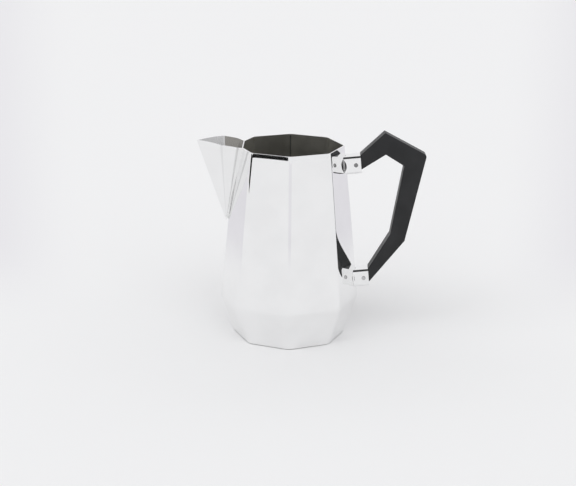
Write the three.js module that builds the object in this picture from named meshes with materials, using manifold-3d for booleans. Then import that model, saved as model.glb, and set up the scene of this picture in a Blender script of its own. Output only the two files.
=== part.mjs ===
// An eight-sided polished steel serving jug: a tapered shell with a let-in base plate, a folded
// beak spout over a notch in its front corner, and a flat black handle held by two riveted sockets.
// Millimetres, +Z up. The origin is on the jug's axis, on the plane that it stands on.
// +X points from the axis to the handle, and -X to the spout.

import * as THREE from 'three';
import { mergeVertices } from 'three/addons/utils/BufferGeometryUtils.js';
import { ConvexGeometry } from 'three/addons/geometries/ConvexGeometry.js';
import Module from 'manifold-3d';

const wasm = await Module();
wasm.setup();

// ---- Driving dimensions: body ----
const SIDES = 8;
const RIM_HEIGHT = 153.0;
const BELLY_HEIGHT = 30.6;
const BASE_RADIUS = 44.1; // every radius is taken to a corner of the octagon
const BELLY_RADIUS = 55.0; // where the two side slopes would meet without the bend
const RIM_RADIUS = 42.3;
const BELLY_BEND = 8.0; // radius of the soft bend at the belly
const SIDE_SWELL = 0.4; // how far the long upper sides bow outwards
const BODY_WALL = 1.0;
const BASE_THICKNESS = 1.2;
const SOLDER_GAP = 0.1; // clearance wherever two metal pieces are soldered together

// ---- Driving dimensions: spout ----
const SPOUT_SHEET = 1.0;
const SPOUT_REACH = 30.6; // from the rim's front corner to the tip
const SPOUT_TIP_RISE = 3.0; // how far the tip stands above the rim
const SPOUT_LIP_BOW = 1.6; // how far the lip arches above a straight line from rim to tip
const SPOUT_FOLD_REACH = 10.6; // the widest fold, in front of the rim's corner
const SPOUT_FOLD_HALF_WIDTH = 18.0;
const SPOUT_CHEEK_SETBACK = 2.1; // the cheek's fold, behind the rim's corner
const SPOUT_CHEEK_HALF_WIDTH = 17.5;
const SPOUT_SEAT_HALF_WIDTH = 14.1; // where the spout meets the body's faces at the rim
const SPOUT_ROOT_HEIGHT = 92.0; // the foot of the spout, on the body's front corner

// ---- Driving dimensions: handle sockets and rivets ----
const SOCKET_HEIGHT = 13.6;
const SOCKET_CHAMFER = 1.3;
const SOCKET_SIDE_WALL = 1.5;
const SOCKET_TOP_WALL = 1.3; // and the same below
const SOCKET_BORE_CHAMFER = 0.2; // less than the clearance round the tenon
const SOCKET_TILT = THREE.MathUtils.degToRad(5.5); // the mouths look slightly upwards
const UPPER_SCALLOP_DEPTH = 2.6; // the hollow curve in each side wall beside the body
const LOWER_SCALLOP_DEPTH = 1.2;
const UPPER_SOCKET_DROP = 13.7; // from the rim down to the middle of the upper mouth
const LOWER_SOCKET_RISE = 47.6; // from the base up to the middle of the lower mouth
const UPPER_SOCKET_PROJECTION = 10.9; // from the body's corner to the mouth
const LOWER_SOCKET_PROJECTION = 9.5;
const RIVET_RADIUS = 1.2;
const RIVET_HEAD_RADIUS = 1.65;
const RIVET_HEAD_HEIGHT = 0.55;
const RIVET_CLEARANCE = 0.1;
const RIVET_SETBACK = 4.0; // from the mouth to the rivet
const ROUND_SEGMENTS = 24;

// ---- Driving dimensions: handle ----
const HANDLE_THICKNESS = 10.7;
const TENON_LENGTH = 8.6;
const TENON_CLEARANCE = 0.25;
const MOUTH_GAP = 0.2; // between the handle's shoulder and the socket's mouth
const GRIP_CORNER_RADIUS = 2.2;
const UPPER_END_TOP = 7.3; // the handle's top and bottom edges at the upper mouth, from its middle
const UPPER_END_BOTTOM = -4.2;
const LOWER_END_TOP = 7.2;
const LOWER_END_BOTTOM = -4.0;

// Corners of the grip, as run and rise from the middle of the upper mouth.
const GRIP_PEAK = [18.1, 24.9];
const GRIP_SHOULDER = [50.9, 7.5];
const GRIP_INNER_SHOULDER = [33.5, -1.2];
const GRIP_INNER_PEAK = [19.0, 7.7];
// Corners of the grip, as run and rise from the middle of the lower mouth.
const GRIP_ELBOW = [27.6, 30.0];
const GRIP_INNER_ELBOW = [16.0, 35.3];

// The sockets are made to fit the handle's plate.
const BORE_WIDTH = HANDLE_THICKNESS + 2 * TENON_CLEARANCE;
const BORE_HEIGHT = SOCKET_HEIGHT - 2 * SOCKET_TOP_WALL;
const SOCKET_WIDTH = BORE_WIDTH + 2 * SOCKET_SIDE_WALL;

// ---- Finishes ----
const STEEL = { color: 0xe6e6e8, roughness: 0.06, metalness: 1.0 };
const RIVET_STEEL = { color: 0xb8b9bc, roughness: 0.2, metalness: 1.0 };
const BLACK_PLASTIC = { color: 0x26272a, roughness: 0.55, metalness: 0.0 };

const HALF_CORNER = Math.PI / SIDES;
const FAR = 400.0; // longer than the jug, for cutting blocks

// A closed geometry as a solid that can be joined and cut.
function solidOf(geometry) {
  const bare = geometry.clone();
  bare.deleteAttribute('normal');
  bare.deleteAttribute('uv');
  const welded = mergeVertices(bare);
  const index = welded.index.array;
  const triangles = [];
  for (let i = 0; i < index.length; i += 3) {
    const [a, b, c] = [index[i], index[i + 1], index[i + 2]];
    if (a !== b && b !== c && c !== a) {
      triangles.push(a, b, c);
    }
  }
  return new wasm.Manifold(
    new wasm.Mesh({
      numProp: 3,
      vertProperties: new Float32Array(welded.attributes.position.array),
      triVerts: new Uint32Array(triangles),
    }),
  );
}

// A solid as a geometry that a mesh can carry.
function geometryOf(solid) {
  const { vertProperties, triVerts } = solid.getMesh();
  const geometry = new THREE.BufferGeometry();
  geometry.setAttribute('position', new THREE.BufferAttribute(vertProperties, 3));
  geometry.setIndex(new THREE.BufferAttribute(triVerts, 1));
  return geometry;
}

function piece(name, solid, finish) {
  const geometry = geometryOf(solid).toNonIndexed();
  geometry.computeVertexNormals();
  const mesh = new THREE.Mesh(geometry, new THREE.MeshStandardMaterial(finish));
  mesh.name = name;
  return mesh;
}

// Turns a profile of (radius, height) about the Z axis in as many flat sides as the jug has.
function turnedOctagon(profile) {
  return solidOf(new THREE.LatheGeometry(profile, SIDES).rotateX(Math.PI / 2));
}

// Extrudes an outline of (x, z) across the jug, evenly to both sides of the plane y = 0.
function acrossY(shape, width) {
  const options = { depth: width, bevelEnabled: false, curveSegments: ROUND_SEGMENTS };
  const geometry = new THREE.ExtrudeGeometry(shape, options);
  geometry.translate(0, 0, -width / 2);
  return solidOf(geometry.rotateX(Math.PI / 2));
}

// ---- Body ----

// The side's line from base to rim, as (corner radius, height), moved inwards by `inset`.
function sideProfile(inset) {
  const base = new THREE.Vector2(BASE_RADIUS, 0);
  const belly = new THREE.Vector2(BELLY_RADIUS, BELLY_HEIGHT);
  const rim = new THREE.Vector2(RIM_RADIUS, RIM_HEIGHT);
  const swell = belly.clone().lerp(rim, 0.5);
  swell.x += 2 * SIDE_SWELL;

  const down = base.clone().sub(belly).normalize();
  const up = swell.clone().sub(belly).normalize();
  const turn = Math.PI - Math.acos(down.dot(up));
  const run = BELLY_BEND * Math.tan(turn / 2);
  const bendStart = belly.clone().addScaledVector(down, run);
  const bendEnd = belly.clone().addScaledVector(up, run);

  const points = [
    base,
    ...new THREE.QuadraticBezierCurve(bendStart, belly, bendEnd).getPoints(6),
    ...new THREE.QuadraticBezierCurve(bendEnd, swell, rim).getPoints(10).slice(1),
  ];
  return points.map((point) => new THREE.Vector2(point.x - inset, point.y));
}

// The corner radius at a height, read from the side's line.
function cornerRadiusAt(height) {
  const line = sideProfile(0);
  const above = line.findIndex((point) => point.y >= height);
  const upper = line[Math.max(above, 1)];
  const lower = line[Math.max(above, 1) - 1];
  return THREE.MathUtils.mapLinear(height, lower.y, upper.y, lower.x, upper.x);
}

// Moving a flat side by a distance moves its corner by this much more.
function atCorner(distance) {
  return distance / Math.cos(HALF_CORNER);
}

// The body's outer form as one solid, grown by a clearance.
function bodyForm(clearance) {
  const side = sideProfile(-atCorner(clearance));
  return turnedOctagon([new THREE.Vector2(0, 0), ...side, new THREE.Vector2(0, RIM_HEIGHT)]);
}

// The opening behind the spout: a V from the rim down to the spout's root.
function spoutNotch() {
  const slope = SPOUT_SEAT_HALF_WIDTH / (RIM_HEIGHT - SPOUT_ROOT_HEIGHT);
  const halfWidth = SPOUT_SEAT_HALF_WIDTH - atCorner(SPOUT_SHEET);
  const foot = RIM_HEIGHT - halfWidth / slope;
  const rise = FAR - foot;
  const outline = new THREE.Shape([
    new THREE.Vector2(0, foot),
    new THREE.Vector2(rise * slope, FAR),
    new THREE.Vector2(-rise * slope, FAR),
  ]);
  const wedge = new THREE.ExtrudeGeometry(outline, { depth: FAR, bevelEnabled: false });
  wedge.rotateX(Math.PI / 2);
  wedge.rotateZ(-Math.PI / 2);
  return solidOf(wedge);
}

function bodyShell() {
  const outer = sideProfile(0);
  const inner = sideProfile(atCorner(BODY_WALL)).reverse();
  const shell = turnedOctagon([...outer, ...inner, outer[0]]);
  return shell.subtract(spoutNotch());
}

function basePlate() {
  const inset = atCorner(BODY_WALL + SOLDER_GAP);
  const bottom = new THREE.Vector2(cornerRadiusAt(0) - inset, 0);
  const top = new THREE.Vector2(cornerRadiusAt(BASE_THICKNESS) - inset, BASE_THICKNESS);
  const onAxis = (height) => new THREE.Vector2(0, height);
  return turnedOctagon([onAxis(0), bottom, top, onAxis(BASE_THICKNESS)]);
}

// ---- Spout ----

// The block below the lip's line, which arches from the rim to the tip.
function belowLip() {
  const seat = new THREE.Vector2(-RIM_RADIUS + SPOUT_CHEEK_SETBACK, RIM_HEIGHT);
  seat.x += SPOUT_CHEEK_HALF_WIDTH - SPOUT_SEAT_HALF_WIDTH;
  const tip = new THREE.Vector2(-RIM_RADIUS - SPOUT_REACH, RIM_HEIGHT + SPOUT_TIP_RISE);
  const crown = seat.clone().lerp(tip, 0.5);
  crown.y += 2 * SPOUT_LIP_BOW;
  const outline = new THREE.Shape();
  outline.moveTo(0, 0);
  outline.lineTo(0, RIM_HEIGHT);
  outline.lineTo(seat.x, seat.y);
  outline.quadraticCurveTo(crown.x, crown.y, tip.x, tip.y);
  outline.lineTo(-FAR, tip.y);
  outline.lineTo(-FAR, 0);
  return acrossY(outline, FAR);
}

// The spout is one sheet folded along lines that all start at its root. Its outer folds run
// round the lip from one seat to the other.
function spoutFolds() {
  const cornerX = -RIM_RADIUS;
  const seatX = cornerX + SPOUT_SEAT_HALF_WIDTH * Math.tan(HALF_CORNER);
  const cheekX = cornerX + SPOUT_CHEEK_SETBACK;
  const foldX = cornerX - SPOUT_FOLD_REACH;
  const level = RIM_HEIGHT + SPOUT_TIP_RISE;
  const half = [
    new THREE.Vector3(seatX, SPOUT_SEAT_HALF_WIDTH, RIM_HEIGHT),
    new THREE.Vector3(cheekX, SPOUT_CHEEK_HALF_WIDTH, RIM_HEIGHT + SPOUT_LIP_BOW),
    new THREE.Vector3(foldX, SPOUT_FOLD_HALF_WIDTH, level),
  ];
  const tip = new THREE.Vector3(cornerX - SPOUT_REACH, 0, level);
  const mirror = new THREE.Vector3(1, -1, 1);
  const otherHalf = half.map((point) => point.clone().multiply(mirror)).reverse();
  return [...half, tip, ...otherHalf];
}

function spout() {
  const rootX = -cornerRadiusAt(SPOUT_ROOT_HEIGHT) - atCorner(SPOUT_SHEET);
  const root = new THREE.Vector3(rootX, 0, SPOUT_ROOT_HEIGHT);
  // The folds run on past the lip, which is cut afterwards.
  const overrun = 1.25;
  const folds = spoutFolds().map((point) => point.clone().sub(root).multiplyScalar(overrun));

  // The inward direction of each flat facet between two folds.
  const facets = folds.slice(1).map((fold, i) => folds[i].clone().cross(fold).normalize());
  // At a fold the inner corner lies where the two facets' inner planes meet.
  const mitres = folds.map((fold, i) => {
    const before = facets[Math.max(i - 1, 0)];
    const after = facets[Math.min(i, facets.length - 1)];
    const sum = before.clone().add(after);
    return sum.multiplyScalar(SPOUT_SHEET / (1 + before.dot(after)));
  });

  let sheet = null;
  facets.forEach((facet, i) => {
    const corners = [root];
    for (const k of [i, i + 1]) {
      const inner = root.clone().add(mitres[k]);
      corners.push(root.clone().add(folds[k]), inner, inner.clone().add(folds[k]));
    }
    const plate = solidOf(new ConvexGeometry(corners));
    sheet = sheet === null ? plate : sheet.add(plate);
  });
  return sheet.intersect(belowLip()).subtract(bodyForm(SOLDER_GAP));
}

// ---- Sockets and rivets ----

// The place of each socket: the middle of its mouth, and how deep its side walls are hollowed.
function socketPlaces() {
  const upperZ = RIM_HEIGHT - UPPER_SOCKET_DROP;
  const lowerZ = LOWER_SOCKET_RISE;
  return {
    upper: {
      x: cornerRadiusAt(upperZ) + UPPER_SOCKET_PROJECTION,
      z: upperZ,
      scallopDepth: UPPER_SCALLOP_DEPTH,
    },
    lower: {
      x: cornerRadiusAt(lowerZ) + LOWER_SOCKET_PROJECTION,
      z: lowerZ,
      scallopDepth: LOWER_SCALLOP_DEPTH,
    },
  };
}

// A point of the plane y = 0, from its distance along and above a socket's axis.
function fromMouth(place, along, above) {
  return new THREE.Vector2(
    place.x + along * Math.cos(SOCKET_TILT) - above * Math.sin(SOCKET_TILT),
    place.z + along * Math.sin(SOCKET_TILT) + above * Math.cos(SOCKET_TILT),
  );
}

function chamferedRectangle(width, height, chamfer) {
  const [halfX, halfY] = [width / 2, height / 2];
  const [flatX, flatY] = [halfX - chamfer, halfY - chamfer];
  const corners = [
    [halfX, -flatY],
    [halfX, flatY],
    [flatX, halfY],
    [-flatX, halfY],
    [-halfX, flatY],
    [-halfX, -flatY],
    [-flatX, -halfY],
    [flatX, -halfY],
  ];
  return new THREE.Shape(corners.map(([x, y]) => new THREE.Vector2(x, y)));
}

// A bar along the socket's axis, from the middle of the body to `end` past the mouth.
function socketBar(place, section, end) {
  const length = place.x + end;
  const bar = new THREE.ExtrudeGeometry(section, { depth: length, bevelEnabled: false });
  bar.translate(0, 0, end - length);
  bar.rotateZ(Math.PI / 2);
  bar.rotateY(Math.PI / 2 - SOCKET_TILT);
  bar.translate(place.x, 0, place.z);
  return solidOf(bar);
}

// The hollow curve that both side walls have where they come to the body.
function scallop(place) {
  const corner = new THREE.Vector2(cornerRadiusAt(place.z), place.z);
  const sideX = corner.x - (SOCKET_WIDTH / 2) * Math.tan(HALF_CORNER);
  const along = (sideX - place.x) / Math.cos(SOCKET_TILT);
  const halfChord = SOCKET_HEIGHT / 2 - SOCKET_CHAMFER;
  const depth = place.scallopDepth;
  const radius = (halfChord * halfChord + depth * depth) / (2 * depth);
  const centre = fromMouth(place, along + depth - radius, 0);
  const circle = new THREE.Shape();
  circle.absarc(centre.x, centre.y, radius, 0, 2 * Math.PI, false);
  return acrossY(circle, FAR);
}

function rivetPoint(place) {
  return fromMouth(place, -RIVET_SETBACK, 0);
}

function rivetHole(place) {
  const centre = rivetPoint(place);
  const radius = RIVET_RADIUS + RIVET_CLEARANCE;
  const drill = new THREE.CylinderGeometry(radius, radius, FAR, ROUND_SEGMENTS);
  drill.translate(centre.x, 0, centre.y);
  return solidOf(drill);
}

function socket(place) {
  const outside = chamferedRectangle(SOCKET_WIDTH, SOCKET_HEIGHT, SOCKET_CHAMFER);
  const bore = chamferedRectangle(BORE_WIDTH, BORE_HEIGHT, SOCKET_BORE_CHAMFER);
  return socketBar(place, outside, 0)
    .subtract(socketBar(place, bore, FAR))
    .subtract(bodyForm(SOLDER_GAP))
    .subtract(scallop(place))
    .subtract(rivetHole(place));
}

function rivet(place) {
  const face = SOCKET_WIDTH / 2 + RIVET_CLEARANCE;
  const dome = new THREE.QuadraticBezierCurve(
    new THREE.Vector2(RIVET_HEAD_RADIUS, face),
    new THREE.Vector2(RIVET_HEAD_RADIUS, face + RIVET_HEAD_HEIGHT),
    new THREE.Vector2(0, face + RIVET_HEAD_HEIGHT),
  );
  const upper = [new THREE.Vector2(RIVET_RADIUS, face), ...dome.getPoints(6)];
  const lower = upper.map((point) => new THREE.Vector2(point.x, -point.y)).reverse();
  const pin = new THREE.LatheGeometry([...lower, ...upper], ROUND_SEGMENTS);
  const centre = rivetPoint(place);
  pin.translate(centre.x, 0, centre.y);
  return solidOf(pin);
}

// ---- Handle ----

// A closed outline through corners of {point, radius}, each rounded where it has a radius.
function roundedOutline(corners) {
  const outline = new THREE.Shape();
  corners.forEach(({ point, radius = 0 }, i) => {
    const before = corners[(i + corners.length - 1) % corners.length].point;
    const after = corners[(i + 1) % corners.length].point;
    const back = before.clone().sub(point).normalize();
    const on = after.clone().sub(point).normalize();
    const run = radius / Math.tan(Math.acos(back.dot(on)) / 2);
    const start = point.clone().addScaledVector(back, run);
    const end = point.clone().addScaledVector(on, run);
    if (i === 0) {
      outline.moveTo(start.x, start.y);
    } else {
      outline.lineTo(start.x, start.y);
    }
    if (radius > 0) {
      outline.quadraticCurveTo(point.x, point.y, end.x, end.y);
    }
  });
  outline.closePath();
  return outline;
}

// The corners of one handle end from its top edge to its bottom edge, round the tenon.
function tenonCorners(place, top, bottom) {
  const tenonTop = BORE_HEIGHT / 2 - TENON_CLEARANCE;
  return [
    fromMouth(place, MOUTH_GAP, top),
    fromMouth(place, MOUTH_GAP, tenonTop),
    fromMouth(place, -TENON_LENGTH, tenonTop),
    fromMouth(place, -TENON_LENGTH, bottom),
    fromMouth(place, MOUTH_GAP, bottom),
  ];
}

function handleGrip({ upper, lower }) {
  const near = (place, [run, rise]) => new THREE.Vector2(place.x + run, place.z + rise);
  const plain = (point) => ({ point });
  const corners = [
    ...tenonCorners(upper, UPPER_END_TOP, UPPER_END_BOTTOM).map(plain),
    plain(near(upper, GRIP_INNER_PEAK)),
    plain(near(upper, GRIP_INNER_SHOULDER)),
    plain(near(lower, GRIP_INNER_ELBOW)),
    ...tenonCorners(lower, LOWER_END_TOP, LOWER_END_BOTTOM).map(plain),
    plain(near(lower, GRIP_ELBOW)),
    { point: near(upper, GRIP_SHOULDER), radius: GRIP_CORNER_RADIUS },
    plain(near(upper, GRIP_PEAK)),
  ];
  const plate = acrossY(roundedOutline(corners), HANDLE_THICKNESS);
  return plate.subtract(rivetHole(upper)).subtract(rivetHole(lower));
}

// ---- Assembly ----

const places = socketPlaces();
const jug = new THREE.Group();
jug.add(piece('body_shell', bodyShell(), STEEL));
jug.add(piece('base_plate', basePlate(), STEEL));
jug.add(piece('spout', spout(), STEEL));
for (const [level, place] of Object.entries(places)) {
  jug.add(piece(`${level}_socket`, socket(place), STEEL));
  jug.add(piece(`${level}_rivet`, rivet(place), RIVET_STEEL));
}
jug.add(piece('handle_grip', handleGrip(places), BLACK_PLASTIC));

export default jug;
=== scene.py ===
"""An eight-sided polished steel serving jug on a pale floor.

The jug has a tapered sheet body with a let-in base, a folded beak spout, and a flat black
handle that two riveted box sockets hold. Lengths are millimetres until a mesh is finished.
"""

import logging
import math
from dataclasses import dataclass
from enum import Enum

import bmesh
import bpy
from mathutils import Euler, Matrix, Vector


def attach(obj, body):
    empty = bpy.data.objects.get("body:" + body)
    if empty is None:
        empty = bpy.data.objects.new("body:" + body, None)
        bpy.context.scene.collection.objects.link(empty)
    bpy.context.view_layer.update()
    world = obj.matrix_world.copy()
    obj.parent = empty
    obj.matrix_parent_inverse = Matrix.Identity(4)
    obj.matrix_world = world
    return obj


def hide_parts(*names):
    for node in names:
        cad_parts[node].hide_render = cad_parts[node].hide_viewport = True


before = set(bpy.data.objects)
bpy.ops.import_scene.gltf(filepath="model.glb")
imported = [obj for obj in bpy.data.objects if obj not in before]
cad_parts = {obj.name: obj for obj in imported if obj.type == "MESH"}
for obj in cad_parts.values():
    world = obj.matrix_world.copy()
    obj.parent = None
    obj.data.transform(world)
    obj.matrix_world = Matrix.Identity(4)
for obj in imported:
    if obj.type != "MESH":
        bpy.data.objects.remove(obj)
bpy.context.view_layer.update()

MM = 0.001
BODY = "root"
log = logging.getLogger("jug")


class Slot(Enum):
    """The finishes that the record names."""

    STEEL = "polished_steel"
    RIVET = "rivet_steel"
    HANDLE = "black_handle"


class Side(Enum):
    """The two halves of the jug, on either side of the plane of its spout and handle."""

    NEAR = -1
    FAR = 1


class Zone(Enum):
    """The finish slots of a sheet's outer side. Its inner side takes the slot after each."""

    PLAIN = 0
    # These slots carry painted shade: the foot's dark line, and the spout's outer widest fold and
    # cheek fold.
    PAINTED_SHADE_LINE = 2
    CHEEK_FOLD = 4


# ---- Small helpers ----


def bow(start: Vector, pull: Vector, end: Vector, steps: int) -> list[Vector]:
    """Points along a soft arc.

    Args:
        start: The first point.
        pull: The point that the arc is drawn towards.
        end: The last point.
        steps: How many lengths the arc is split into.

    Returns:
        The points from start to end.
    """
    points = []
    for i in range(steps + 1):
        t = i / steps
        points.append(start * (1 - t) ** 2 + pull * 2 * t * (1 - t) + end * t**2)
    return points


def wire(points: list[Vector], closed: bool = False) -> bmesh.types.BMesh:
    """A new mesh that holds one line of edges.

    Args:
        points: The line's points.
        closed: True if the last point joins the first.

    Returns:
        The mesh.
    """
    bm = bmesh.new()
    verts = [bm.verts.new(p) for p in points]
    for a, b in zip(verts, verts[1:]):
        bm.edges.new((a, b))
    if closed:
        bm.edges.new((verts[-1], verts[0]))
    return bm


def everything(bm: bmesh.types.BMesh) -> list:
    """All of a mesh's vertices, edges and faces."""
    return [*bm.verts, *bm.edges, *bm.faces]


def face_outwards(bm: bmesh.types.BMesh) -> None:
    """Merges doubled points and turns every face outwards."""
    bmesh.ops.remove_doubles(bm, verts=bm.verts, dist=0.001)
    bmesh.ops.recalc_face_normals(bm, faces=bm.faces)


def turn_round(bm: bmesh.types.BMesh, axis: tuple[int, int, int], steps: int) -> None:
    """Sweeps a line of edges all the way round an axis through the origin."""
    bmesh.ops.spin(
        bm,
        geom=everything(bm),
        cent=(0, 0, 0),
        axis=axis,
        angle=2 * math.pi,
        steps=steps,
        use_merge=True,
    )
    face_outwards(bm)


def ease(
    bm: bmesh.types.BMesh, parts: list, offset: float, segments: int, affect: str = "VERTICES"
) -> None:
    """Rounds or chamfers corners.

    Args:
        bm: The mesh.
        parts: The points or the edges to ease.
        offset: How far the easing reaches to each side.
        segments: How many facets it has.
        affect: VERTICES for the corners of an outline, or EDGES.
    """
    bmesh.ops.bevel(
        bm,
        geom=parts,
        offset=offset,
        offset_type="OFFSET",
        segments=segments,
        profile=0.5,
        affect=affect,
        material=-1,
        clamp_overlap=affect == "EDGES",
    )


def cut_half(bm: bmesh.types.BMesh, side: Side, place: Vector, outward: Vector) -> None:
    """Cuts one half of a piece at a plane and drops what is behind it.

    Args:
        bm: The piece's mesh.
        side: Which half to cut.
        place: A point of the plane.
        outward: The direction in which the piece is kept.
    """
    half = [f for f in bm.faces if f.calc_center_median().y * side.value > 0]
    geometry = {*half, *(e for f in half for e in f.edges)}
    geometry |= {v for f in half for v in f.verts}
    bmesh.ops.bisect_plane(bm, geom=list(geometry), dist=0.0001, plane_co=place, plane_no=outward)
    behind = []
    for face in bm.faces:
        middle = face.calc_center_median()
        if middle.y * side.value > 0 and (middle - place).dot(outward) < -0.001:
            behind.append(face)
    bmesh.ops.delete(bm, geom=behind, context="FACES")


def is_level(edge: bmesh.types.BMEdge) -> bool:
    """True if an edge runs level."""
    return abs(edge.verts[0].co.z - edge.verts[1].co.z) < 0.01


def split_in_middle(bm: bmesh.types.BMesh) -> None:
    """Cuts a piece's faces where they cross from the near half to the far half."""
    bmesh.ops.bisect_plane(
        bm, geom=everything(bm), dist=0.0001, plane_co=(0, 0, 0), plane_no=(0, 1, 0)
    )


def ends_of(grown: list) -> list[bmesh.types.BMVert]:
    """The vertices among what an extrusion has made."""
    return [part for part in grown if isinstance(part, bmesh.types.BMVert)]


@dataclass
class Edge:
    """How a piece's sharp edges are eased.

    Args:
        width: The width of the easing in millimetres.
        segments: How many facets it has.
        angle: Edges that turn by more than this many degrees are eased.
    """

    width: float
    segments: int = 3
    angle: float = 30.0


class Maker:
    """Turns finished meshes into pieces of the jug.

    A surface gets more finish slots than any sheet uses before it is thickened, because its
    inner side's slot number is held within the slots that it has.
    """

    SHEET_SLOTS = 8

    @staticmethod
    def thicken(bm: bmesh.types.BMesh, sheet: float, inner: int = 0) -> bmesh.types.BMesh:
        """Gives a surface its wall, inwards.

        Args:
            bm: The surface in millimetres, which is used up.
            sheet: The wall's thickness.
            inner: How many finishes further on the inner side's finish is.

        Returns:
            The sheet as a solid.
        """
        mesh = bpy.data.meshes.new("surface")
        bm.to_mesh(mesh)
        bm.free()
        for _ in range(Maker.SHEET_SLOTS):
            mesh.materials.append(None)
        holder = bpy.data.objects.new("surface", mesh)
        bpy.context.scene.collection.objects.link(holder)
        wall = holder.modifiers.new("wall", "SOLIDIFY")
        wall.thickness = sheet
        wall.offset = -1.0
        wall.use_even_offset = True
        wall.use_quality_normals = True
        wall.material_offset = inner
        wall.material_offset_rim = 0
        bpy.context.view_layer.update()
        made = holder.evaluated_get(bpy.context.evaluated_depsgraph_get())
        solid = bmesh.new()
        solid.from_mesh(made.to_mesh())
        made.to_mesh_clear()
        bpy.data.objects.remove(holder)
        bpy.data.meshes.remove(mesh)
        bmesh.ops.remove_doubles(solid, verts=solid.verts, dist=0.01)
        return solid

    @staticmethod
    def piece(
        name: str,
        bm: bmesh.types.BMesh,
        finishes: list[bpy.types.Material],
        slot: Slot,
        edge: Edge | None = None,
        stands_for: tuple[str, ...] = (),
    ) -> bpy.types.Object:
        """Makes an object from a mesh in millimetres and puts it on the jug.

        Args:
            name: The piece's name.
            bm: Its mesh, which is used up.
            finishes: Its finishes. A sheet has each outer zone's, then the inner side's.
            slot: Not used.
            edge: How its edges are eased, if they are.
            stands_for: The CAD nodes that it replaces.

        Returns:
            The object.
        """
        bmesh.ops.scale(bm, vec=(MM, MM, MM), verts=bm.verts)
        for face in bm.faces:
            face.smooth = True
        mesh = bpy.data.meshes.new(name)
        bm.to_mesh(mesh)
        bm.free()
        for finish in finishes:
            mesh.materials.append(finish)
        obj = bpy.data.objects.new(name, mesh)
        bpy.context.scene.collection.objects.link(obj)
        if edge:
            eased = obj.modifiers.new("edges", "BEVEL")
            eased.width = edge.width * MM
            eased.segments = edge.segments
            eased.limit_method = "ANGLE"
            eased.angle_limit = math.radians(edge.angle)
            eased.use_clamp_overlap = True
            eased.harden_normals = False
        even = obj.modifiers.new("flats", "WEIGHTED_NORMAL")
        even.mode = "FACE_AREA"
        even.weight = 50
        even.keep_sharp = True
        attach(obj, BODY)
        if stands_for:
            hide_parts(*stands_for)
        log.info("made %s", name)
        return obj

    @staticmethod
    def line(
        name: str,
        points: list[Vector],
        thickness: list[float],
        finish: bpy.types.Material,
        slot: Slot,
    ) -> bpy.types.Object:
        """Runs a line of solder along points in millimetres.

        Args:
            name: The piece's name.
            points: The line's points.
            thickness: The line's radius at each point.
            finish: Its finish.
            slot: Not used.

        Returns:
            The object.
        """
        curve = bpy.data.curves.new(name, "CURVE")
        curve.dimensions = "3D"
        curve.bevel_depth = MM
        curve.bevel_resolution = 3
        curve.use_fill_caps = True
        spline = curve.splines.new("POLY")
        spline.points.add(len(points) - 1)
        for place, point, radius in zip(spline.points, points, thickness):
            place.co = (*(point * MM), 1.0)
            place.radius = radius
        curve.materials.append(finish)
        obj = bpy.data.objects.new(name, curve)
        bpy.context.scene.collection.objects.link(obj)
        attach(obj, BODY)
        log.info("made %s", name)
        return obj


# ---- Finishes ----


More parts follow.
